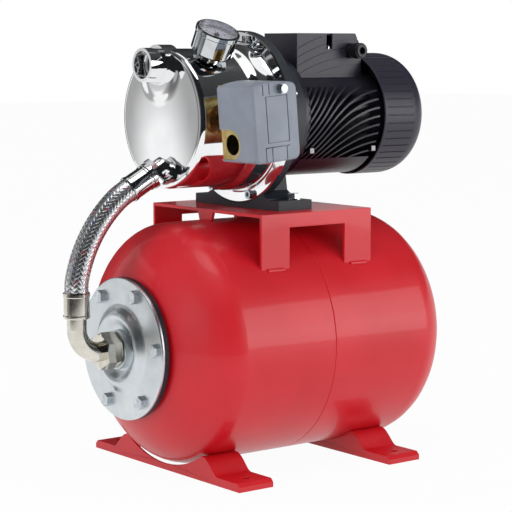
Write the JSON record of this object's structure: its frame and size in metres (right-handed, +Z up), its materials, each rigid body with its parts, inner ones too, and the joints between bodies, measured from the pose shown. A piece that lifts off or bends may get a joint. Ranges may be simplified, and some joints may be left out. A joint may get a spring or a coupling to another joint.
{
  "type": "centrifugal water pump set",
  "caption": "Self-priming jet pump and finned motor on a horizontal red pressure tank, with braided hose, pressure switch and gauge.",
  "frame": {"origin": "centre of the four foot bolt holes, on the floor", "axes": "+Z up, +X along the pump's axis from the suction port to the fan, -Y the side of the pressure switch"},
  "size_m": [0.4883, 0.3019, 0.5006],
  "materials": {
    "red_enamel": "gloss",
    "dark_phosphate": "satin",
    "bright_zinc": "satin",
    "zinc_bolts": "polished",
    "black_rubber": "matte",
    "yellow_brass": "satin",
    "black_plastic": "satin",
    "nickel_brass": "polished",
    "steel_braid": "woven",
    "polished_stainless": "polished",
    "cast_nickel": "satin",
    "socket_screws": "polished",
    "pressed_stainless": "satin",
    "ground_steel": "ground",
    "ceramic": "polished",
    "grey_cast_iron": "painted",
    "motor_paint": "satin",
    "laminations": "laminated",
    "enamelled_copper": "varnished",
    "motor_plastic": "satin",
    "box_screw_steel": "satin",
    "white_plastic": "satin",
    "gauge_chrome": "polished",
    "dial_face": "matte",
    "pointer_black": "matte",
    "clear_lens": "clear",
    "yellow_zinc": "satin",
    "switch_grey": "satin",
    "cap_nut_nickel": "polished"
  },
  "bodies": {
    "base": {"tank_front_shell": "red_enamel", "tank_rear_shell": "red_enamel", "counter_flange": "dark_phosphate", "flange_cover": "bright_zinc", "flange_bolts": "zinc_bolts", "bladder": "black_rubber", "front_foot": "red_enamel", "rear_foot": "red_enamel", "pump_bracket": "red_enamel", "air_valve": "yellow_brass", "valve_cap": "black_plastic", "elbow_adapter": "nickel_brass", "elbow_pipe": "nickel_brass", "lower_ferrule": "nickel_brass", "hose_liner": "black_rubber", "hose_braid": "steel_braid", "upper_ferrule": "nickel_brass", "hose_nut": "nickel_brass", "pump_casing": "polished_stainless", "casing_ports": "polished_stainless", "inlet_guide": "cast_nickel", "drain_plug": "yellow_brass", "clamp_ring": "polished_stainless", "clamp_screws": "socket_screws", "casing_o_ring": "black_rubber", "seal_plate": "pressed_stainless", "diffuser": "black_plastic", "ejector": "black_plastic", "seal_seat": "ceramic", "motor_bracket": "grey_cast_iron", "foot_bolts": "zinc_bolts", "motor_body": "motor_paint", "stator_core": "laminations", "stator_windings": "enamelled_copper", "bearing_outer_rings": "ground_steel", "rear_shield": "motor_paint", "fan_cover": "motor_plastic", "terminal_box": "motor_plastic", "box_screws": "box_screw_steel", "capacitor": "white_plastic", "cable_gland": "black_plastic", "gauge_case": "gauge_chrome", "gauge_dial": "dial_face", "gauge_lens": "clear_lens", "switch_base": "yellow_zinc", "switch_cover": "switch_grey", "switch_cap_nut": "cap_nut_nickel", "diaphragm_housing": "yellow_brass"},
    "rotor": {"shaft": "ground_steel", "impeller": "yellow_brass", "impeller_nut": "ground_steel", "seal_head": "black_rubber", "rotor_core": "laminations", "fan": "black_plastic", "bearing_inner_rings": "ground_steel"},
    "bearing_cage": {"bearing_balls": "ground_steel"},
    "suction_valve": {"inlet_poppet": "black_plastic"},
    "pointer": {"gauge_pointer": "pointer_black"},
    "contact_lever": {"switch_lever": "ground_steel"}
  },
  "joints": [
    {"name": "rotor_spin", "type": "hinge", "parent": "base", "child": "rotor", "pos_m": [0, 0, 0.392], "axis": [1, 0, 0], "continuous": true},
    {"name": "cage_spin", "type": "hinge", "parent": "base", "child": "bearing_cage", "pos_m": [0, 0, 0.392], "axis": [1, 0, 0], "continuous": true},
    {"name": "suction_valve_lift", "type": "slide", "parent": "base", "child": "suction_valve", "axis": [1, 0, 0], "range_m": [0, 0.006]},
    {"name": "pointer_turn", "type": "hinge", "parent": "base", "child": "pointer", "pos_m": [-0.0915, -0.0533, 0.48936], "axis": [0, -0.4802, 0.8771], "range_deg": [-270, 0]},
    {"name": "lever_tip", "type": "hinge", "parent": "base", "child": "contact_lever", "pos_m": [-0.0915, -0.104, 0.392], "axis": [0.9962, 0, 0.0872], "range_deg": [0, 8]}
  ],
  "couplings": [
    {"joint": "cage_spin", "follows": "rotor_spin", "ratio": 0.384}
  ]
}
